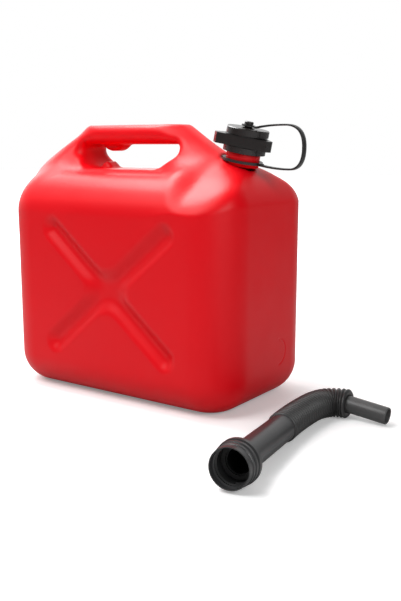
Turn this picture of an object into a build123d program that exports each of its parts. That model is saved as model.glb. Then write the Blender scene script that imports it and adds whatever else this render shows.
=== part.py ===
from build123d import *
from math import cos, radians, sin
import os

# Ten litre plastic fuel can with its screw cap, strap and loose pouring spout.
# X runs along the can towards the neck, Y across it, Z up.  The origin is the
# centre of the can's footprint on the surface it stands on.  Millimetres.

# ---- driving dimensions: can ----
CAN_LENGTH = 294.0
CAN_DEPTH = 174.0
CORNER_R = 44.0
SHOULDER_Z = 234.0
SHOULDER_R = 42.0
BASE_R = 35.0
WALL = 2.0

# A taller shoulder stands under the neck, inside a flared cone about its axis.
LOBE_Z = 247.0
LOBE_R = 40.0

HANDLE_HALF = 25.0
HANDLE_EDGE_R = 7.5
HANDLE_OUTLINE = [
    (-135, 200), (-147, 222), (-147, 243), (-88, 285), (44, 285), (100, 248), (100, 200),
]
HANDLE_CORNERS = [5, 5, 28, 16, 16, 16, 5]
GRIP_OUTLINE = [(-85, 236), (-85, 264.5), (47, 264.5), (46.5, 254), (25, 236)]
GRIP_CORNERS = [16, 7, 4, 12, 22]

GROOVE_WIDTH = 27.0
GROOVE_DEPTH = 6.0
GROOVE_ARM = 107.0
GROOVE_ANGLE = 39.5
GROOVE_CENTRE = (3.5, 117.0)
GROOVE_VALLEY_R = 14.0
GROOVE_TAPER = 38.0

STAMP_Y = 18.0
STAMP_Z = 53.0
STAMP_R = 14.0
STAMP_WIDTH = 1.4
STAMP_DEPTH = 0.6

# Two nubs in the hand opening hold the spout's tube for storage.
CLIP_ROOF_X = -52.0
CLIP_ROOF_R = 19.0
CLIP_ROOF_DROP = 7.2
CLIP_FLOOR_OUTLINE = [(-75, 232), (-73, 236), (-61, 244), (-51, 236), (-49, 232)]
CLIP_HALF = 9.0

# ---- driving dimensions: neck and thread ----
NECK_X = 111.2
NECK_Z = 247.0
NECK_TILT = 11.5
NECK_R = 17.0
NECK_BORE_R = 12.8
NECK_HEIGHT = 27.5
NECK_STEP = 9.0
SEAT_R = 21.8
THREAD_ROOT_R = 15.0
THREAD_CREST_R = 16.1
THREAD_PITCH = 4.5
THREAD_TURNS = 2.25
NECK_THREAD_START = 14.5
CAP_THREAD_START = NECK_THREAD_START - THREAD_PITCH / 2

# ---- driving dimensions: cap ----
CAP_BOTTOM = 10.0
CAP_TOP = 34.0
CAP_ROOF = 3.2
CAP_SKIRT_R = 21.3
CAP_BORE_R = 16.6
CAP_THREAD_R = 15.4
CAP_DISC_R = 21.6
CAP_BODY_R = 19.6
CAP_DISC_LOW = 27.0
BOSS_R = 7.5
SEAL_BORE_R = 8.0
WING_LOW = 16.0
WING_HIGH = 26.5
WING_REACH = 31.8
WING_ROOT = 10.0
WING_ROOT_HALF = 16.8
WING_TIP_HALF = 4.2
WING_COUNT = 3
WING_START = -13.0
STUD_R = 3.2
STUD_HEAD_R = 4.6
STUD_TOP = 40.3

# ---- driving dimensions: strap ----
LOOP_LOW = 0.5
LOOP_HIGH = 3.0
LOOP_R = 20.6
EYE_LOW = 35.7
EYE_HIGH = 37.1
EYE_R = 7.0
BAND_WIDTH = 6.5
BAND_THICK = 1.8
BAND_GAP = 0.3
BAND_ROUTE = [(150, 240.6), (180.7, 240.6), (180.7, 282.6), (141, 283.2)]
BAND_RADII = [60, 20.5, 20.5, 40]

# ---- driving dimensions: spout, lying on the floor beside the can ----
SPOUT_START = (232.0, -207.0, 20.4)
HOSE_START = (211.3, -88.8, 14.4)
HOSE_ROUTE = [(211.3, -88.8), (206.1, -59.2), (205.3, 9.6), (231.0, 9.6)]
HOSE_RADII = [150, 22]
HOSE_R = 14.4
HOSE_VALLEY_R = 13.2
HOSE_BORE_R = 12.0
HOSE_RIDGES = 27
RIDGE_HALF = 1.0
COLLAR_RINGS = [(8.0, 1.2, 18.2), (13.0, 1.4, 18.8), (18.8, 2.2, 19.4)]
COLLAR_VALLEY_R = 17.5
COLLAR_LENGTH = 24.0
COLLAR_BORE_R = 16.6
COLLAR_THREAD_START = 5.0
TUBE_R = 12.8
TUBE_BORE_R = 10.9
TUBE_GAP = 0.5
SPIGOT_R = 11.3
SPIGOT_LENGTH = 7.0
NOZZLE_R = 8.4
NOZZLE_BORE_R = 6.9
NOZZLE_LENGTH = 41.0
NOZZLE_ROOT = 4.0
NOZZLE_DROOP = 6.5
FLANGE_R = 13.2
FLANGE_LOW = 1.9


def save(part, name):
    """Label a finished piece and write it to its own file."""
    part.label = name
    export_step(part, f"parts/{name}.step")


def axis_plane(origin, z_dir, x_dir):
    """A plane whose normal is a piece's own axis."""
    return Plane(origin=origin, x_dir=x_dir, z_dir=z_dir)


def section_plane(plane):
    """The plane through a piece's axis, with x the radius and y the distance along the axis."""
    return Plane(origin=plane.origin, x_dir=plane.x_dir, z_dir=-plane.y_dir)


def plane_axis(plane):
    """The axis that a piece is turned about."""
    return Axis(plane.origin, plane.z_dir)


def turned(plane, outline):
    """A piece turned about the plane's normal from a closed outline of (radius, height)."""
    with BuildPart() as piece:
        with BuildSketch(section_plane(plane)):
            with BuildLine():
                Polyline(*outline, close=True)
            make_face()
        revolve(axis=plane_axis(plane))
    return piece.part


def thread(plane, start, base_r, crest_r, base_half=1.1, crest_half=0.5):
    """A helical ridge of trapezoidal section that stands on base_r and ends at crest_r."""
    with BuildPart() as ridge:
        with BuildLine() as path:
            Helix(pitch=THREAD_PITCH, height=THREAD_PITCH * THREAD_TURNS, radius=base_r)
        with BuildSketch(Plane(origin=(base_r, 0, 0), x_dir=(1, 0, 0), z_dir=(0, 1, 0))):
            with BuildLine():
                Polyline(
                    (0, base_half),
                    (crest_r - base_r, crest_half),
                    (crest_r - base_r, -crest_half),
                    (0, -base_half),
                    close=True,
                )
            make_face()
        sweep(path=path.line, is_frenet=True)
    return plane.offset(start).location * ridge.part


os.makedirs("parts", exist_ok=True)

neck_plane = axis_plane(
    (NECK_X, 0, NECK_Z),
    (sin(radians(NECK_TILT)), 0, cos(radians(NECK_TILT))),
    (cos(radians(NECK_TILT)), 0, -sin(radians(NECK_TILT))),
)


# ---- can body ----
def block(height, shoulder_r, inset):
    """The can's box with its rounded corners, shoulder and base, shrunk all round by inset."""
    with BuildPart() as box:
        with BuildSketch(Plane.XY.offset(inset)):
            RectangleRounded(CAN_LENGTH - 2 * inset, CAN_DEPTH - 2 * inset, CORNER_R - inset)
        extrude(amount=height - 2 * inset)
        fillet(box.faces().sort_by(Axis.Z)[-1].edges(), shoulder_r - inset)
        fillet(box.faces().sort_by(Axis.Z)[0].edges(), BASE_R - inset)
    return box.part


def lobe(inset):
    """The taller shoulder under the neck."""
    with BuildPart() as shape:
        add(block(LOBE_Z, LOBE_R, inset))
        with BuildSketch(section_plane(neck_plane)):
            with BuildLine():
                Polyline(
                    (0, -inset), (22, -inset), (69 - inset, -17 - inset),
                    (85 - inset, -52), (85 - inset, -250), (0, -250),
                    close=True,
                )
            make_face()
        revolve(axis=plane_axis(neck_plane), mode=Mode.INTERSECT)
    return shape.part


def handle(inset):
    """The handle's fin with the hand opening through it."""
    with BuildPart() as fin:
        with BuildSketch(Plane.XZ):
            with BuildLine():
                FilletPolyline(*HANDLE_OUTLINE, radius=HANDLE_CORNERS, close=True)
            make_face()
            if inset:
                offset(amount=-inset)
        extrude(amount=HANDLE_HALF - inset, both=True)
        with BuildSketch(Plane.XZ):
            with BuildLine():
                FilletPolyline(*GRIP_OUTLINE, radius=GRIP_CORNERS, close=True)
            make_face()
            if inset:
                offset(amount=inset)
        extrude(amount=HANDLE_HALF, both=True, mode=Mode.SUBTRACT)
        fillet(fin.edges().filter_by(Axis.Y, reverse=True), HANDLE_EDGE_R - inset)
    return fin.part


def groove(inset):
    """The crossed grooves pressed into both large faces, widened and deepened by inset."""
    width = GROOVE_WIDTH + 2 * inset
    with BuildPart() as cross:
        with BuildSketch(Plane(origin=(0, -CAN_DEPTH / 2, 0), x_dir=(1, 0, 0), z_dir=(0, -1, 0))) as outline:
            with Locations(GROOVE_CENTRE):
                with Locations(Rotation(0, 0, GROOVE_ANGLE), Rotation(0, 0, -GROOVE_ANGLE)):
                    SlotOverall(2 * (GROOVE_ARM + inset), width)
            crossing = Vector(*GROOVE_CENTRE)
            valleys = outline.vertices().sort_by_distance(crossing)[:4]
            fillet(valleys, GROOVE_VALLEY_R - inset)
        extrude(amount=-GROOVE_DEPTH - inset, taper=GROOVE_TAPER)
        mirror(about=Plane.XZ)
    return cross.part


def skin(inset):
    """The can's whole outer form without its neck, shrunk all round by inset."""
    with BuildPart() as form:
        add(block(SHOULDER_Z, SHOULDER_R, inset))
        add(lobe(inset))
        add(handle(inset))
        with BuildSketch(neck_plane.offset(-inset)):
            Circle(SEAT_R + inset)
        extrude(amount=60, mode=Mode.SUBTRACT)
        add(groove(inset), mode=Mode.SUBTRACT)
    return form.part


with BuildPart() as can_body:
    add(skin(0))
    add(skin(WALL), mode=Mode.SUBTRACT)
    add(turned(neck_plane, [
        (NECK_BORE_R, -WALL - 1), (NECK_R, -WALL - 1), (NECK_R, NECK_STEP),
        (THREAD_ROOT_R, NECK_STEP + 1.5), (THREAD_ROOT_R, NECK_HEIGHT - 0.8),
        (THREAD_ROOT_R - 0.8, NECK_HEIGHT), (NECK_BORE_R, NECK_HEIGHT),
    ]))
    add(thread(neck_plane, NECK_THREAD_START, THREAD_ROOT_R - 0.3, THREAD_CREST_R))
    with BuildSketch(neck_plane.offset(-15)):
        Circle(NECK_BORE_R)
    extrude(amount=NECK_HEIGHT + 20, mode=Mode.SUBTRACT)
    with BuildSketch(Plane.XZ):
        with Locations((CLIP_ROOF_X, GRIP_OUTLINE[1][1] - CLIP_ROOF_DROP + CLIP_ROOF_R)):
            Circle(CLIP_ROOF_R)
        with Locations((CLIP_ROOF_X, GRIP_OUTLINE[1][1])):
            Rectangle(4 * CLIP_ROOF_R, CLIP_ROOF_DROP * 2 + 3, mode=Mode.INTERSECT)
    extrude(amount=CLIP_HALF, both=True)
    with BuildSketch(Plane.XZ):
        with BuildLine():
            FilletPolyline(*CLIP_FLOOR_OUTLINE, radius=[0.5, 3, 0.5], close=False)
            Line(CLIP_FLOOR_OUTLINE[-1], CLIP_FLOOR_OUTLINE[0])
        make_face()
    extrude(amount=CLIP_HALF, both=True)
    with BuildSketch(Plane.YZ.offset(CAN_LENGTH / 2)):
        with Locations((STAMP_Y, STAMP_Z)):
            Circle(STAMP_R)
            Circle(STAMP_R - STAMP_WIDTH, mode=Mode.SUBTRACT)
        with Locations((STAMP_Y - STAMP_R, STAMP_Z)):
            Rectangle(2 * STAMP_R, 3 * STAMP_R, mode=Mode.SUBTRACT)
    extrude(amount=-STAMP_DEPTH, mode=Mode.SUBTRACT)
save(can_body.part, "can_body")

# ---- cap ----
with BuildPart() as cap:
    add(turned(neck_plane, [
        (0, CAP_TOP - CAP_ROOF), (CAP_BORE_R, CAP_TOP - CAP_ROOF), (CAP_BORE_R, CAP_BOTTOM),
        (CAP_BORE_R + 1.4, CAP_BOTTOM), (CAP_BORE_R + 1.4, WING_LOW - 1), (CAP_SKIRT_R - 1.5, WING_LOW - 1),
        (CAP_SKIRT_R - 1.5, CAP_BOTTOM), (CAP_SKIRT_R, CAP_BOTTOM), (CAP_SKIRT_R, WING_LOW - 0.5),
        (CAP_BODY_R, WING_LOW), (CAP_BODY_R, CAP_DISC_LOW), (CAP_DISC_R, CAP_DISC_LOW + 0.4),
        (CAP_DISC_R, CAP_TOP - 0.8), (CAP_DISC_R - 0.8, CAP_TOP), (BOSS_R, CAP_TOP),
        (STUD_R + 1, EYE_LOW - 0.9), (STUD_R, EYE_LOW - 0.4), (STUD_R, EYE_HIGH + 0.4),
        (STUD_HEAD_R, EYE_HIGH + 0.5), (STUD_HEAD_R, STUD_TOP - 0.5), (STUD_HEAD_R - 0.5, STUD_TOP),
        (0, STUD_TOP),
    ]))
    with BuildSketch(neck_plane.offset(WING_LOW)) as wings:
        with PolarLocations(0, WING_COUNT, start_angle=WING_START):
            Polygon(
                (WING_ROOT, -WING_ROOT_HALF), (WING_REACH, -WING_TIP_HALF),
                (WING_REACH, WING_TIP_HALF), (WING_ROOT, WING_ROOT_HALF),
                align=None,
            )
        Circle(CAP_BORE_R + 0.7, mode=Mode.SUBTRACT)
    extrude(amount=WING_HIGH - WING_LOW)
    add(thread(neck_plane, CAP_THREAD_START, CAP_BORE_R + 0.3, CAP_THREAD_R))
save(cap.part, "cap")

cap_seal = turned(neck_plane, [
    (SEAL_BORE_R, NECK_HEIGHT + 0.1), (CAP_BORE_R - 1.4, NECK_HEIGHT + 0.1),
    (CAP_BORE_R - 1.4, CAP_TOP - CAP_ROOF), (SEAL_BORE_R, CAP_TOP - CAP_ROOF),
])
save(cap_seal, "cap_seal")

# ---- strap: neck loop, band and cap eye ----
with BuildPart() as strap_neck_loop:
    with BuildSketch(neck_plane.offset(LOOP_LOW)):
        Circle(LOOP_R)
        with Locations((LOOP_R, 0)):
            Rectangle(6, BAND_WIDTH)
        Circle(NECK_R + 0.4, mode=Mode.SUBTRACT)
    extrude(amount=LOOP_HIGH - LOOP_LOW)
save(strap_neck_loop.part, "strap_neck_loop")

with BuildPart() as strap_cap_eye:
    with BuildSketch(neck_plane.offset(EYE_LOW)):
        Circle(EYE_R)
        with Locations((EYE_R, 0)):
            Rectangle(4, BAND_WIDTH)
        Circle(STUD_R + 0.3, mode=Mode.SUBTRACT)
    extrude(amount=EYE_HIGH - EYE_LOW)
save(strap_cap_eye.part, "strap_cap_eye")

band_start = neck_plane.from_local_coords(Vector(LOOP_R + 3 + BAND_GAP, 0, (LOOP_LOW + LOOP_HIGH) / 2))
band_end = neck_plane.from_local_coords(Vector(EYE_R + 2 + BAND_GAP, 0, (EYE_LOW + EYE_HIGH) / 2))
band_points = [(band_start.X, band_start.Z), *BAND_ROUTE, (band_end.X, band_end.Z)]
with BuildPart() as strap_band:
    with BuildSketch(Plane.XZ):
        with BuildLine():
            FilletPolyline(*band_points, radius=BAND_RADII)
        trace(line_width=BAND_THICK)
    extrude(amount=BAND_WIDTH / 2, both=True)
save(strap_band.part, "strap_band")


# ---- spout ----
def spout_plane(start, end):
    """A plane at start whose normal points to end."""
    z_dir = Vector(*end) - Vector(*start)
    return Plane(origin=start, x_dir=z_dir.cross(Vector(0, 0, 1)), z_dir=z_dir)


tube_plane = spout_plane(SPOUT_START, HOSE_START)
tube_length = (Vector(*HOSE_START) - Vector(*SPOUT_START)).length
collar_outline = [(COLLAR_BORE_R, 0), (COLLAR_VALLEY_R, 0)]
for middle, half, radius in COLLAR_RINGS:
    collar_outline += [
        (COLLAR_VALLEY_R, middle - half - 0.5), (radius, middle - half + 0.2),
        (radius, middle + half - 0.2), (COLLAR_VALLEY_R, middle + half + 0.5),
    ]
with BuildPart() as spout_tube:
    add(turned(tube_plane, collar_outline + [
        (COLLAR_VALLEY_R, COLLAR_LENGTH - 1.5), (COLLAR_VALLEY_R - 1.5, COLLAR_LENGTH),
        (TUBE_R + 1.2, COLLAR_LENGTH), (TUBE_R, COLLAR_LENGTH + 2.5),
        (TUBE_R, tube_length - TUBE_GAP), (SPIGOT_R, tube_length - TUBE_GAP),
        (SPIGOT_R, tube_length + SPIGOT_LENGTH), (TUBE_BORE_R - 0.6, tube_length + SPIGOT_LENGTH),
        (TUBE_BORE_R - 0.6, tube_length - 2), (TUBE_BORE_R, tube_length - 4),
        (TUBE_BORE_R, COLLAR_LENGTH - 2), (COLLAR_BORE_R, COLLAR_LENGTH - 2),
    ]))
    add(thread(tube_plane, COLLAR_THREAD_START, COLLAR_BORE_R + 0.3, CAP_THREAD_R))
save(spout_tube.part, "spout_tube")

spout_seal = turned(tube_plane, [
    (TUBE_BORE_R + 1, COLLAR_LENGTH - 4), (COLLAR_BORE_R - 1.4, COLLAR_LENGTH - 4),
    (COLLAR_BORE_R - 1.4, COLLAR_LENGTH - 2), (TUBE_BORE_R + 1, COLLAR_LENGTH - 2),
])
save(spout_seal, "spout_seal")

with BuildLine(Plane.XY.offset(HOSE_START[2])) as hose_line:
    FilletPolyline(*HOSE_ROUTE, radius=HOSE_RADII)
hose_path = hose_line.wire()
hose_plane = Plane(origin=hose_path @ 0, z_dir=hose_path % 0)
with BuildPart() as spout_hose:
    with BuildSketch(hose_plane):
        Circle(HOSE_VALLEY_R)
    sweep(path=hose_path)
    for step in range(HOSE_RIDGES):
        share = (step + 0.5) / HOSE_RIDGES
        ridge_plane = Plane(origin=hose_path @ share, z_dir=hose_path % share)
        with BuildSketch(ridge_plane.offset(-RIDGE_HALF)):
            Circle(HOSE_R)
        extrude(amount=2 * RIDGE_HALF)
    with BuildSketch(hose_plane):
        Circle(HOSE_BORE_R)
    sweep(path=hose_path, mode=Mode.SUBTRACT)
save(spout_hose.part, "spout_hose")

nozzle_heading = hose_path % 1
nozzle_plane = Plane(
    origin=hose_path @ 1,
    z_dir=(nozzle_heading.X, nozzle_heading.Y, -sin(radians(NOZZLE_DROOP))),
)
spout_nozzle = turned(nozzle_plane, [
    (NOZZLE_BORE_R, -NOZZLE_ROOT), (HOSE_BORE_R - 0.6, -NOZZLE_ROOT), (HOSE_BORE_R - 0.6, FLANGE_LOW),
    (FLANGE_R, FLANGE_LOW), (FLANGE_R, FLANGE_LOW + 1.3), (NOZZLE_R, FLANGE_LOW + 2.3),
    (NOZZLE_R, NOZZLE_LENGTH - 0.6),
    (NOZZLE_R - 0.5, NOZZLE_LENGTH), (NOZZLE_BORE_R, NOZZLE_LENGTH),
])
save(spout_nozzle, "spout_nozzle")
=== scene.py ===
import math
from itertools import product

import bmesh
import bpy
import numpy as np
from mathutils import Matrix, Vector


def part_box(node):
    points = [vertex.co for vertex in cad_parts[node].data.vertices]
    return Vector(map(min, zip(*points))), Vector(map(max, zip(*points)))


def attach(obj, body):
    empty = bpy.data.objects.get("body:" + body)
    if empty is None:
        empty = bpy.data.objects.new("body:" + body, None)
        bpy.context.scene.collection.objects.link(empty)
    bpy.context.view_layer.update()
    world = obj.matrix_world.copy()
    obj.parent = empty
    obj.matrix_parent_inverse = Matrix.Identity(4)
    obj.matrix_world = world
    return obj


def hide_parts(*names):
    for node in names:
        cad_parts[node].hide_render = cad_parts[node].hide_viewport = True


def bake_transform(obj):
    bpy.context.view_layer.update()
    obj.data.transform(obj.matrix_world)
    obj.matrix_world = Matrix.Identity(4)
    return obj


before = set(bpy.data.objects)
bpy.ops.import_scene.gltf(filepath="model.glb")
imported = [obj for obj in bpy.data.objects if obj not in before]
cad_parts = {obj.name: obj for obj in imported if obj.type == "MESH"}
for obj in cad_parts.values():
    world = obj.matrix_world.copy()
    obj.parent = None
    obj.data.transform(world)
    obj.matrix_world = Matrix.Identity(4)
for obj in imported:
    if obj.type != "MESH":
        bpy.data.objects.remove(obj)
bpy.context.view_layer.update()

MM = 0.001
scene = bpy.context.scene
scene.view_settings.view_transform = "Standard"

# ---- camera ----
camera_data = bpy.data.cameras.new("camera")
camera_data.sensor_fit = "VERTICAL"
camera_data.sensor_height = 36.0
camera_data.lens = 48.9
camera_data.dof.use_dof = False
camera = bpy.data.objects.new("camera", camera_data)
camera.location = (0.552, -0.702, 0.264)
camera.rotation_euler = (math.radians(79.2), 0.0, math.radians(35.0))
scene.collection.objects.link(camera)
scene.camera = camera

# ---- driving dimensions of the can's form, in millimetres ----
CAN_HALF_X = 147.0
CAN_HALF_Y = 87.0
CORNER_R = 44.0
SHOULDER_Z = 234.0
SHOULDER_R = 42.0
BASE_R = 35.0
LOBE_Z = 247.0
LOBE_R = 52.0
FACET_SLOPE = math.radians(33)
NECK_ORIGIN = (111.2, 0.0, 247.0)
NECK_TILT = math.radians(11.5)
SEAT_R = 21.8
BORE_R = 12.8
HANDLE_HALF = 25.0
HANDLE_EDGE_R = 10.0
HANDLE_END_R = 24.0
HANDLE_OUTLINE = [(-135, 200), (-147, 222), (-147, 243), (-88, 285), (44, 285), (100, 248), (100, 200)]
HANDLE_CORNERS = [5, 5, 28, 16, 16, 16, 5]
GRIP_OUTLINE = [(-85, 238.5), (-85, 264.5), (47, 264.5), (46.5, 254), (27, 238.5)]
GRIP_CORNERS = [16, 7, 5, 12, 22]
GROOVE_CENTRE = (3.5, 117.0)
GROOVE_ANGLE = math.radians(39.5)
GROOVE_HALF = 14.5
GROOVE_ARM = 110.0
GROOVE_DEPTH = 6.0
GROOVE_WALL = 14.5
STAMP_Y = 18.0
STAMP_Z = 53.0
STAMP_R = 13.4
PITCH = 2.5
HOSE_ROUTE = [(211.3, -88.8), (206.1, -59.2), (205.3, 9.6), (231.0, 9.6)]
HOSE_R = 14.4
HOSE_VALLEY_R = 12.5
HOSE_RIDGES = 27
RING_STEPS = 8
AROUND = 72
NOZZLE_R = 8.4
NOZZLE_BORE_R = 6.9
NOZZLE_LENGTH = 41.0
NOZZLE_INSET = 3.5
NOZZLE_DROOP = math.radians(6.5)
BAND_HALF_WIDTH = 3.25
BAND_HALF_THICK = 0.9
BAND_CORNER = 0.45
BAND_CHAMFER = 0.12
BAND_ROUTE = [(133.6, 243.9), (150, 240.6), (180.7, 240.6), (180.7, 282.6), (141, 283.2), (126.6, 280.4)]


# ---- distance fields ----
def smooth_min(a, b, k):
    """The nearer of two distances, with a fillet of about k between them."""
    h = np.clip(0.5 + 0.5 * (b - a) / k, 0, 1)
    return b * (1 - h) + a * h - k * h * (1 - h)


def smooth_max(a, b, k):
    return -smooth_min(-a, -b, k)


def ease(t):
    t = np.clip(t, 0, 1)
    return t * t * (3 - 2 * t)


def rounded_rectangle(x, y, half_x, half_y, r):
    qx, qy = np.abs(x) - half_x + r, np.abs(y) - half_y + r
    return np.hypot(np.maximum(qx, 0), np.maximum(qy, 0)) + np.minimum(np.maximum(qx, qy), 0) - r


def edge_rounded(side, end, r):
    """A prism's distance from its side and end distances, its rim rounded by r."""
    a, b = side + r, end + r
    return np.minimum(np.maximum(a, b), 0) + np.hypot(np.maximum(a, 0), np.maximum(b, 0)) - r


def rounded_outline(corners, radii, steps=7):
    """A closed outline with each corner turned into an arc."""
    points = []
    for n, corner in enumerate(corners):
        here = Vector(corner)
        back = (Vector(corners[n - 1]) - here).normalized()
        ahead = (Vector(corners[(n + 1) % len(corners)]) - here).normalized()
        half = back.angle(ahead) / 2
        centre = here + (back + ahead).normalized() * (radii[n] / math.sin(half))
        first = here + back * (radii[n] / math.tan(half)) - centre
        last = here + ahead * (radii[n] / math.tan(half)) - centre
        turn = first.angle_signed(last)
        for step in range(steps + 1):
            points.append(tuple(centre + Matrix.Rotation(-turn * step / steps, 2) @ first))
    return points


def outline_distance(u, v, corners):
    nearest, inside = 1e12, False
    for (au, av), (bu, bv) in zip(corners, corners[1:] + corners[:1]):
        eu, ev = bu - au, bv - av
        share = np.clip(((u - au) * eu + (v - av) * ev) / (eu * eu + ev * ev + 1e-12), 0, 1)
        nearest = np.minimum(nearest, (u - au - share * eu) ** 2 + (v - av - share * ev) ** 2)
        if abs(ev) > 1e-9:
            crosses = (av <= v) != (bv <= v)
            inside = inside ^ (crosses & (u < au + (v - av) * eu / ev))
    return np.where(inside, -1.0, 1.0) * np.sqrt(nearest)


def block(x, y, z, top, shoulder_r):
    side = rounded_rectangle(x, y, CAN_HALF_X, CAN_HALF_Y, CORNER_R)
    upper = edge_rounded(side, z - top, shoulder_r)
    lower = edge_rounded(side, -z, BASE_R)
    return np.where(z > top / 2, upper, lower)


def beyond(x, z, a, b):
    """Distance outside the line from a to b, which runs clockwise round the handle."""
    du, dv = b[0] - a[0], b[1] - a[1]
    return ((z - a[1]) * du - (x - a[0]) * dv) / math.hypot(du, dv)


def neck_coordinates(x, y, z):
    """Radius about the neck's axis, and distance along it."""
    dx, dz = x - NECK_ORIGIN[0], z - NECK_ORIGIN[2]
    across = dx * math.cos(NECK_TILT) - dz * math.sin(NECK_TILT)
    along = dx * math.sin(NECK_TILT) + dz * math.cos(NECK_TILT)
    return np.hypot(across, y), along


handle_edge = rounded_outline(HANDLE_OUTLINE, HANDLE_CORNERS)
grip_edge = rounded_outline(GRIP_OUTLINE, GRIP_CORNERS)
clip_ridge = rounded_outline(
    [(-76, 230), (-73, 238), (-62, 247), (-52, 238), (-50, 230)], [0.5, 2, 3.5, 2, 0.5],
)


def can_form(x, y, z):
    """The can's outer form without its neck."""
    radius, along = neck_coordinates(x, y, z)
    depth_y = np.abs(y)
    form = block(x, y, z, SHOULDER_Z, SHOULDER_R)
    gentle = ((radius - 22) * 17 + along * 47) / 50.0
    steep = ((radius - 69) * 35 + (along + 17) * 16) / 38.5
    cone = smooth_max(gentle, steep, 9)
    cone = smooth_max(cone, along, 3)
    form = smooth_min(form, smooth_max(block(x, y, z, LOBE_Z, LOBE_R), cone, 6), 8)
    facet = (depth_y - 24) * math.sin(FACET_SLOPE) + (z - LOBE_Z) * math.cos(FACET_SLOPE)
    form = smooth_max(form, facet - 26 * ease((98 - x) / 50), 9)
    rear = beyond(x, z, *HANDLE_OUTLINE[2:4])
    front = beyond(x, z, *HANDLE_OUTLINE[4:6])
    fin = edge_rounded(outline_distance(x, z, handle_edge), depth_y - HANDLE_HALF, HANDLE_EDGE_R)
    for end in (rear, front):
        fin = smooth_max(fin, edge_rounded(end, depth_y - HANDLE_HALF, HANDLE_END_R), 2)
    form = smooth_min(form, fin, 26 - 10 * ease((x - 60) / 40) + 26 * ease((-70 - x) / 40))
    form = smooth_max(form, rear, 6)
    grip = edge_rounded(outline_distance(x, z, grip_edge), depth_y - 75, 6)
    form = smooth_max(form, -grip, 2 + 10 * ease((z - 242) / 14))
    roof = np.hypot(x + 52, z - 276.3) - 19
    form = smooth_min(form, smooth_max(edge_rounded(roof, depth_y - 9, 3), z - 274, 1), 2)
    form = smooth_min(form, edge_rounded(outline_distance(x, z, clip_ridge), depth_y - 9, 2.5), 2)
    form = smooth_max(form, -np.maximum(radius - SEAT_R, -along), 2.5)
    u, v = x - GROOVE_CENTRE[0], z - GROOVE_CENTRE[1]
    arms = []
    for angle in (GROOVE_ANGLE, -GROOVE_ANGLE):
        run = np.abs(u * math.cos(angle) + v * math.sin(angle)) - (GROOVE_ARM - GROOVE_HALF)
        arms.append(np.hypot(np.maximum(run, 0), v * math.cos(angle) - u * math.sin(angle)) - GROOVE_HALF)
    trough = GROOVE_DEPTH * ease(-smooth_min(*arms, 20) / GROOVE_WALL)
    form = np.maximum(form, depth_y - CAN_HALF_Y + trough)
    side = rounded_rectangle(x, y, CAN_HALF_X, CAN_HALF_Y, CORNER_R)
    form = np.maximum(form, edge_rounded(side, -z, BASE_R))
    return smooth_max(form, -np.maximum(radius - BORE_R, -along - 40), 1)


def surface_net(field, low, high, pitch):
    """Vertices and quads of the field's zero surface on a regular grid."""
    axes = [np.arange(a - 2 * pitch, b + 3 * pitch, pitch) for a, b in zip(low, high)]
    x, y, z = np.meshgrid(*axes, indexing="ij", sparse=True)
    values = field(x, y, z)
    inside = values < 0
    shape = tuple(n - 1 for n in values.shape)

    def corner(array, offset):
        return array[tuple(slice(o, o + n) for o, n in zip(offset, shape))]

    count = sum(corner(inside, o).astype(np.int8) for o in product((0, 1), repeat=3))
    cells = np.argwhere((count > 0) & (count < 8))
    index = np.full(shape, -1)
    index[tuple(cells.T)] = np.arange(len(cells))
    total = np.zeros((len(cells), 3))
    crossings = np.zeros(len(cells))
    quads = []
    for axis in range(3):
        step = np.eye(3, dtype=int)[axis]
        others = [n for n in range(3) if n != axis]
        for a, b in product((0, 1), repeat=2):
            start = np.zeros(3, int)
            start[others] = (a, b)
            first = values[tuple((cells + start).T)]
            second = values[tuple((cells + start + step).T)]
            crossed = (first < 0) != (second < 0)
            share = np.where(crossed, first / (first - second + 1e-12), 0)
            total[crossed] += (start + share[:, None] * step)[crossed]
            crossings += crossed
        here = inside.take(range(shape[axis]), axis)
        there = inside.take(range(1, shape[axis] + 1), axis)
        edges = np.argwhere(here != there)
        side, other = np.eye(3, dtype=int)[others[0]], np.eye(3, dtype=int)[others[1]]
        ring = [index[tuple((edges - o).T)] for o in (side + other, other, 0 * side, side)]
        quad = np.stack(ring, 1)
        leaving = here[tuple(edges.T)] != (axis == 1)
        quad[~leaving] = quad[~leaving][:, ::-1]
        quads.append(quad)
    points = (cells + total / crossings[:, None]) * pitch + [a[0] for a in axes]
    return points, np.concatenate(quads)


def settle(field, points, rounds=3):
    """Move points onto the field's zero surface."""
    for _ in range(rounds):
        value = field(*points.T)
        slope = np.stack(
            [field(*(points + s).T) - field(*(points - s).T) for s in np.eye(3) * 0.15], 1
        ) / 0.3
        step = slope * (value / np.maximum((slope**2).sum(1), 0.3))[:, None]
        points = points - np.clip(step, -1.2, 1.2)
    return points


def relax(points, quads):
    """Each point moves half way to the middle of its neighbours."""
    total = np.zeros_like(points)
    count = np.zeros(len(points))
    for n in range(4):
        a, b = quads[:, n], quads[:, (n + 1) % 4]
        np.add.at(total, a, points[b])
        np.add.at(total, b, points[a])
        np.add.at(count, a, 1)
        np.add.at(count, b, 1)
    return 0.5 * points + 0.5 * total / count[:, None]


# ---- mesh helpers ----
def add_mesh(name, points, faces, material):
    """A piece from points in millimetres in the row frame."""
    mesh = bpy.data.meshes.new(name)
    mesh.from_pydata((np.asarray(points) * MM).tolist(), [], [list(map(int, f)) for f in faces])
    mesh.materials.append(material)
    mesh.polygons.foreach_set("use_smooth", [True] * len(mesh.polygons))
    piece = bpy.data.objects.new(name, mesh)
    scene.collection.objects.link(piece)
    return piece


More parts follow.
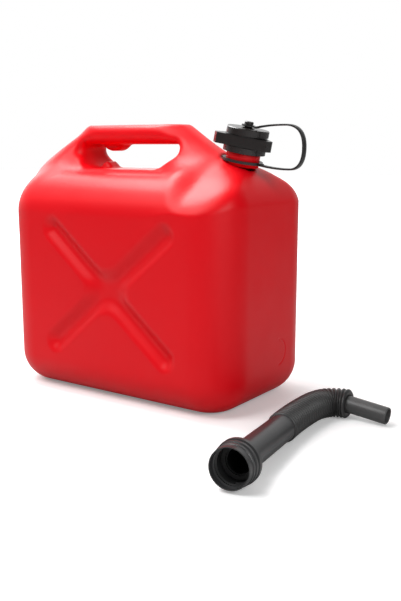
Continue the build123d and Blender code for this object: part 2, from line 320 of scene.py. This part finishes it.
def refine(piece, chosen, cuts):
    """Divide the chosen faces of a piece more finely."""
    work = bmesh.new()
    work.from_mesh(piece.data)
    edges = {e for f in work.faces if chosen(f.calc_center_median() / MM) for e in f.edges}
    bmesh.ops.subdivide_edges(work, edges=list(edges), cuts=cuts, use_grid_fill=True)
    work.to_mesh(piece.data)
    work.free()


def axis_matrix(origin, z_dir, x_dir):
    z_axis = Vector(z_dir).normalized()
    x_axis = Vector(x_dir).normalized()
    matrix = Matrix((x_axis, z_axis.cross(x_axis), z_axis)).transposed().to_4x4()
    matrix.translation = Vector(origin)
    return matrix


def turned(outline, matrix, steps=96):
    """Points and quads of a closed outline of (radius, height) turned about the matrix's z axis."""
    points, faces = [], []
    count = len(outline)
    for step in range(steps):
        angle = 2 * math.pi * step / steps
        for r, h in outline:
            points.append(matrix @ Vector((r * math.cos(angle), r * math.sin(angle), h)))
    for step in range(steps):
        here, ahead = step * count, (step + 1) % steps * count
        for n in range(count):
            m = (n + 1) % count
            faces.append((here + n, ahead + n, ahead + m, here + m))
    return points, faces


def helix_ridge(matrix, start, pitch, turns, base_r, crest_r, steps=72):
    """Points and faces of a screw thread that rises from base_r and fades out at both ends."""
    section = [(0, 1.15), (0.85, 0.62), (1, 0.3), (1, -0.3), (0.85, -0.62), (0, -1.15)]
    points, faces = [], []
    count = int(turns * steps)
    for n in range(count + 1):
        angle = 2 * math.pi * n / steps
        fade = min(1.0, (n + 1) / 8, (count - n + 1) / 8)
        for out, up in section:
            r = base_r + (crest_r - base_r) * out * fade
            point = Vector((r * math.cos(angle), r * math.sin(angle), start + pitch * n / steps + up * fade))
            points.append(matrix @ point)
    size = len(section)
    for n in range(count):
        for m in range(size - 1):
            a = n * size + m
            faces.append((a, a + size, a + size + 1, a + 1))
    faces.append(tuple(range(size))[::-1])
    faces.append(tuple(range(count * size, (count + 1) * size)))
    return points, faces


def joined(parts):
    points, faces = [], []
    for part_points, part_faces in parts:
        offset = len(points)
        points += [tuple(p) for p in part_points]
        faces += [tuple(v + offset for v in face) for face in part_faces]
    return points, faces


# ---- materials ----
DRIFT = 0.06


def plastic(name, colour, roughness, grain, grain_scale=900.0, specular=0.5, edge_sheen_colour=None):
    """A moulded plastic with fine grain, faint colour drift and convex edges painted a little paler, a painted
    highlight along the edges.
    """
    material = bpy.data.materials.new(name)
    material.use_nodes = True
    nodes, links = material.node_tree.nodes, material.node_tree.links
    shader = nodes["Principled BSDF"]
    shader.inputs["Specular IOR Level"].default_value = specular
    place = nodes.new("ShaderNodeTexCoord")
    drift = nodes.new("ShaderNodeTexNoise")
    drift.inputs["Scale"].default_value = 9.0
    drift.inputs["Detail"].default_value = 3.0
    links.new(place.outputs["Object"], drift.inputs["Vector"])
    tint = nodes.new("ShaderNodeMix")
    tint.data_type = "RGBA"
    tint.inputs["A"].default_value = (*[c * (1 - DRIFT) for c in colour], 1)
    tint.inputs["B"].default_value = (*[min(1, c * (1 + DRIFT)) for c in colour], 1)
    links.new(drift.outputs["Fac"], tint.inputs["Factor"])
    # Convex edges, found by their pointiness, are painted paler: a painted highlight along the edges.
    edge = nodes.new("ShaderNodeNewGeometry")
    ramp = nodes.new("ShaderNodeMapRange")
    ramp.inputs["From Min"].default_value = 0.52
    ramp.inputs["From Max"].default_value = 0.62
    ramp.inputs["To Max"].default_value = 0.5
    links.new(edge.outputs["Pointiness"], ramp.inputs["Value"])
    painted_edge_sheen = nodes.new("ShaderNodeMix")
    painted_edge_sheen.data_type = "RGBA"
    painted_edge_sheen.inputs["B"].default_value = (*(edge_sheen_colour or [min(1, c * 1.3 + 0.01) for c in colour]), 1)
    links.new(ramp.outputs["Result"], painted_edge_sheen.inputs["Factor"])
    links.new(tint.outputs["Result"], painted_edge_sheen.inputs["A"])
    links.new(painted_edge_sheen.outputs["Result"], shader.inputs["Base Color"])
    smudge = nodes.new("ShaderNodeTexNoise")
    smudge.inputs["Scale"].default_value = 28.0
    smudge.inputs["Detail"].default_value = 6.0
    links.new(place.outputs["Object"], smudge.inputs["Vector"])
    gloss = nodes.new("ShaderNodeMapRange")
    gloss.inputs["From Min"].default_value = 0.3
    gloss.inputs["From Max"].default_value = 0.7
    gloss.inputs["To Min"].default_value = roughness - 0.04
    gloss.inputs["To Max"].default_value = roughness + 0.05
    links.new(smudge.outputs["Fac"], gloss.inputs["Value"])
    links.new(gloss.outputs["Result"], shader.inputs["Roughness"])
    fine = nodes.new("ShaderNodeTexNoise")
    fine.inputs["Scale"].default_value = grain_scale
    fine.inputs["Detail"].default_value = 2.0
    links.new(place.outputs["Object"], fine.inputs["Vector"])
    bump = nodes.new("ShaderNodeBump")
    bump.inputs["Strength"].default_value = grain
    bump.inputs["Distance"].default_value = 0.0004
    links.new(fine.outputs["Fac"], bump.inputs["Height"])
    links.new(bump.outputs["Normal"], shader.inputs["Normal"])
    return material


# The edge colour given to the red is the colour of its painted edge highlight, almost the body red.
red = plastic(
    "red_polyethylene", (0.74, 0.0005, 0.006), 0.40, grain=0.12, specular=0.25, edge_sheen_colour=(0.74, 0.003, 0.008),
)
black = plastic("black_cap_plastic", (0.012, 0.0095, 0.009), 0.24, grain=0.1, grain_scale=1400)
strap_black = plastic("black_strap_plastic", (0.012, 0.011, 0.011), 0.38, grain=0.12, grain_scale=1200)
rubber = plastic("seal_rubber", (0.02, 0.02, 0.02), 0.6, grain=0.3)
grey = plastic("spout_plastic", (0.026, 0.026, 0.027), 0.36, grain=0.15)
hose_grey = plastic("hose_plastic", (0.028, 0.028, 0.028), 0.42, grain=0.15)
nozzle_grey = plastic("nozzle_plastic", (0.06, 0.06, 0.06), 0.42, grain=0.15)

CARRIED = {
    "cap": black, "cap_seal": rubber, "strap_neck_loop": strap_black, "strap_cap_eye": strap_black,
    "spout_tube": grey, "spout_seal": rubber,
}
for node, material in CARRIED.items():
    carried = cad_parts[node]
    for material_slot in carried.material_slots:
        material_slot.material = material

# ---- can ----
neck_matrix = axis_matrix(
    NECK_ORIGIN,
    (math.sin(NECK_TILT), 0, math.cos(NECK_TILT)),
    (math.cos(NECK_TILT), 0, -math.sin(NECK_TILT)),
)
low, high = (np.array(corner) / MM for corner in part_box("can_body"))
points, quads = surface_net(can_form, low, high, PITCH)
points = settle(can_form, points)
for _ in range(2):
    points = settle(can_form, relax(points, quads), 2)
can_shell = add_mesh("can_shell", points, quads, red)


def off_stamp(place):
    """Distance in millimetres from the moulded half ring on the narrow face."""
    across, up = place.y - STAMP_Y, place.z - STAMP_Z
    if across < 0:
        return math.hypot(across, abs(up) - STAMP_R)
    return abs(math.hypot(across, up) - STAMP_R)


refine(can_shell, lambda c: c.x > CAN_HALF_X - 1 and off_stamp(c) < 3, 4)
for vertex in can_shell.data.vertices:
    if vertex.co.x > (CAN_HALF_X - 1) * MM:
        vertex.co.x -= 0.6 * MM * float(ease(1.5 - off_stamp(vertex.co / MM)))
neck_parts = [
    turned([
        (12.8, -3), (17, -3), (17, 8.6), (16.8, 9.2), (15.2, 10.4), (15, 10.8), (15, 26.4), (14.8, 27.1),
        (14.3, 27.5), (13.4, 27.5), (12.9, 27.2), (12.8, 26.8),
    ], neck_matrix),
    helix_ridge(neck_matrix, 14.5, 4.5, 2.25, 14.9, 16.1),
]
can_neck = add_mesh("can_neck", *joined(neck_parts), red)
for piece in (can_shell, can_neck):
    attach(piece, "can")
    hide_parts("can_body")

# ---- spout hose and nozzle ----
def nurbs_line(route):
    """Points of the smooth NURBS curve of order 3 that has the route's points as its control points."""
    data = bpy.data.curves.new("line", "CURVE")
    data.dimensions = "3D"
    spline = data.splines.new("NURBS")
    spline.points.add(len(route) - 1)
    for point, place in zip(spline.points, route):
        point.co = (*place, 1)
    spline.order_u = 3
    spline.use_endpoint_u = True
    spline.resolution_u = 24
    holder = bpy.data.objects.new("line", data)
    scene.collection.objects.link(holder)
    bpy.context.view_layer.update()
    mesh = bpy.data.meshes.new_from_object(holder)
    line = np.array([v.co for v in mesh.vertices])
    bpy.data.objects.remove(holder)
    bpy.data.curves.remove(data)
    bpy.data.meshes.remove(mesh)
    return line


def along_line(line, shares):
    """Places and headings at shares of the line's length."""
    reach = np.concatenate([[0], np.cumsum(np.linalg.norm(np.diff(line, axis=0), axis=1))])
    heading = np.gradient(line, reach, axis=0)
    wanted = np.asarray(shares) * reach[-1]
    place = np.stack([np.interp(wanted, reach, line[:, n]) for n in range(3)], 1)
    turn = np.stack([np.interp(wanted, reach, heading[:, n]) for n in range(3)], 1)
    return place, turn / np.linalg.norm(turn, axis=1)[:, None]


hose_line = nurbs_line([(*point, HOSE_R) for point in HOSE_ROUTE])
rings = HOSE_RIDGES * RING_STEPS
shares = np.arange(rings + 1) / rings
place, heading = along_line(hose_line, shares)
ridge = np.abs(np.sin(np.pi * shares * HOSE_RIDGES)) ** 0.8
radii = HOSE_VALLEY_R + (HOSE_R - HOSE_VALLEY_R) * ridge
place = np.concatenate([place[:1], place[:1], place, place[-1:], place[-1:] - 3 * heading[-1:]])
heading = np.concatenate([heading[:1], heading[:1], heading, heading[-1:], heading[-1:]])
radii = np.concatenate([[11.4, 12.2], radii, [NOZZLE_R + 0.1, NOZZLE_R + 0.1]])
side = np.cross([0, 0, 1], heading)
angles = np.arange(AROUND) * 2 * np.pi / AROUND
hose_points = (
    place[:, None] + radii[:, None, None] * (
        np.cos(angles)[None, :, None] * side[:, None] + np.sin(angles)[None, :, None] * np.array([0, 0, 1])
    )
).reshape(-1, 3)
hose_faces = [
    (here + n, here + AROUND + n, here + AROUND + (n + 1) % AROUND, here + (n + 1) % AROUND)
    for here in range(0, (len(radii) - 1) * AROUND, AROUND) for n in range(AROUND)
]
hose = add_mesh("spout_hose_skin", hose_points, hose_faces, hose_grey)
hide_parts("spout_hose")
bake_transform(hose)

nozzle_matrix = axis_matrix(
    (*HOSE_ROUTE[-1], HOSE_R),
    (math.cos(NOZZLE_DROOP), 0, -math.sin(NOZZLE_DROOP)),
    (math.sin(NOZZLE_DROOP), 0, math.cos(NOZZLE_DROOP)),
)
nozzle = add_mesh("spout_nozzle_pipe", *turned([
    (NOZZLE_BORE_R, -NOZZLE_INSET), (NOZZLE_R, -NOZZLE_INSET), (NOZZLE_R, 0), (NOZZLE_R, 20), (NOZZLE_R, 39.6),
    (8.3, 40.4), (7.95, 40.9), (7.5, NOZZLE_LENGTH), (7.1, 40.8), (NOZZLE_BORE_R, 40.3), (NOZZLE_BORE_R, 20),
], nozzle_matrix, AROUND), nozzle_grey)
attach(nozzle, "nozzle")
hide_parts("spout_nozzle")

# ---- strap band ----
band_line = nurbs_line([(x, 0, z) for x, z in BAND_ROUTE])
place, heading = along_line(band_line, np.linspace(0, 1, 121))
up = np.cross(heading, [0, 1, 0])
wide, thick = BAND_HALF_WIDTH, BAND_HALF_THICK
corner = [
    (wide - BAND_CORNER, thick), (wide - BAND_CHAMFER, thick - BAND_CHAMFER), (wide, thick - BAND_CORNER),
]
section = [(-w, t) for w, t in corner] + [(-w, -t) for w, t in corner[::-1]]
section += [(w, -t) for w, t in corner] + corner[::-1]
size = len(section)
across = np.array([0, 1, 0])
band_points = np.array([p + w * across + t * u for p, u in zip(place, up) for w, t in section])
band_faces = [
    (r * size + n, r * size + (n + 1) % size, (r + 1) * size + (n + 1) % size, (r + 1) * size + n)
    for r in range(len(place) - 1) for n in range(size)
] + [tuple(range(size))[::-1], tuple(range((len(place) - 1) * size, len(place) * size))]
band = add_mesh("strap_band_strip", band_points, band_faces, strap_black)
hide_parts("strap_band")
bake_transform(band)

# ---- floor, lights ----
floor_mesh = bpy.data.meshes.new("floor")
reach = 6.0
floor_corners = [(-reach, -reach, 0), (reach, -reach, 0), (reach, reach, 0), (-reach, reach, 0)]
floor_mesh.from_pydata(floor_corners, [], [(0, 1, 2, 3)])
floor_material = bpy.data.materials.new("floor")
floor_material.use_nodes = True
floor_nodes, floor_links = floor_material.node_tree.nodes, floor_material.node_tree.links
paper = floor_nodes["Principled BSDF"]
paper.inputs["Roughness"].default_value = 0.9
paper.inputs["Specular IOR Level"].default_value = 0.1
paper.inputs["Emission Color"].default_value = (1, 1, 1, 1)
spot = floor_nodes.new("ShaderNodeTexCoord")
reach_out = floor_nodes.new("ShaderNodeVectorMath")
reach_out.operation = "LENGTH"
floor_links.new(spot.outputs["Object"], reach_out.inputs[0])
glow = floor_nodes.new("ShaderNodeMapRange")
glow.interpolation_type = "SMOOTHSTEP"
glow.inputs["From Min"].default_value = 0.3
glow.inputs["From Max"].default_value = 1.6
glow.inputs["To Min"].default_value = 0.22
glow.inputs["To Max"].default_value = 0.95
floor_links.new(reach_out.outputs["Value"], glow.inputs["Value"])
seen = floor_nodes.new("ShaderNodeLightPath")
tone = floor_nodes.new("ShaderNodeMix")
tone.data_type = "RGBA"
tone.inputs["A"].default_value = (0.5, 0.5, 0.5, 1)
tone.inputs["B"].default_value = (0.9, 0.9, 0.9, 1)
floor_links.new(seen.outputs["Is Camera Ray"], tone.inputs["Factor"])
floor_links.new(tone.outputs["Result"], paper.inputs["Base Color"])
shown = floor_nodes.new("ShaderNodeMath")
shown.operation = "MULTIPLY"
floor_links.new(glow.outputs["Result"], shown.inputs[0])
floor_links.new(seen.outputs["Is Camera Ray"], shown.inputs[1])
floor_links.new(shown.outputs["Value"], paper.inputs["Emission Strength"])
floor_mesh.materials.append(floor_material)
floor = bpy.data.objects.new("floor", floor_mesh)
scene.collection.objects.link(floor)

world = bpy.data.worlds.new("studio")
world.use_nodes = True
world_nodes, world_links = world.node_tree.nodes, world.node_tree.links
where = world_nodes.new("ShaderNodeTexCoord")
toward = world_nodes.new("ShaderNodeVectorMath")
toward.operation = "DOT_PRODUCT"
toward.inputs[1].default_value = (-0.72, 0.62, 0.3)
world_links.new(where.outputs["Generated"], toward.inputs[0])
backdrop = world_nodes.new("ShaderNodeMapRange")
backdrop.interpolation_type = "SMOOTHSTEP"
backdrop.inputs["From Min"].default_value = 0.0
backdrop.inputs["From Max"].default_value = 0.9
backdrop.inputs["To Min"].default_value = 0.05
backdrop.inputs["To Max"].default_value = 1.0
world_links.new(toward.outputs["Value"], backdrop.inputs["Value"])
path = world_nodes.new("ShaderNodeLightPath")
level = world_nodes.new("ShaderNodeMix")
level.inputs["B"].default_value = 1.0
world_links.new(path.outputs["Is Camera Ray"], level.inputs["Factor"])
world_links.new(backdrop.outputs["Result"], level.inputs["A"])
world_links.new(level.outputs["Result"], world_nodes["Background"].inputs["Strength"])
world_nodes["Background"].inputs["Color"].default_value = (1, 1, 1, 1)
scene.world = world


def softbox(name, location, target, width, height, power):
    data = bpy.data.lights.new(name, "AREA")
    data.shape = "RECTANGLE"
    data.size = width
    data.size_y = height
    data.energy = power
    lamp = bpy.data.objects.new(name, data)
    lamp.location = location
    lamp.rotation_euler = (Vector(target) - Vector(location)).to_track_quat("-Z", "Y").to_euler()
    scene.collection.objects.link(lamp)


softbox("key", (-0.6, -1.3, 1.9), (0, 0, 0.12), 1.4, 1.4, 35)
softbox("facet", (-0.17, 0.0, 0.68), (0.11, -0.05, 0.235), 0.3, 0.3, 2.9)
softbox("top_left", (-0.85, 0.12, 1.6), (0.05, 0, 0.2), 0.9, 0.9, 6)
softbox("rear_left", (-1.3, 1.0, 0.9), (0, 0, 0.2), 1.2, 1.2, 9)
softbox("right", (1.4, -0.7, 0.8), (0, 0, 0.12), 0.9, 0.9, 12)
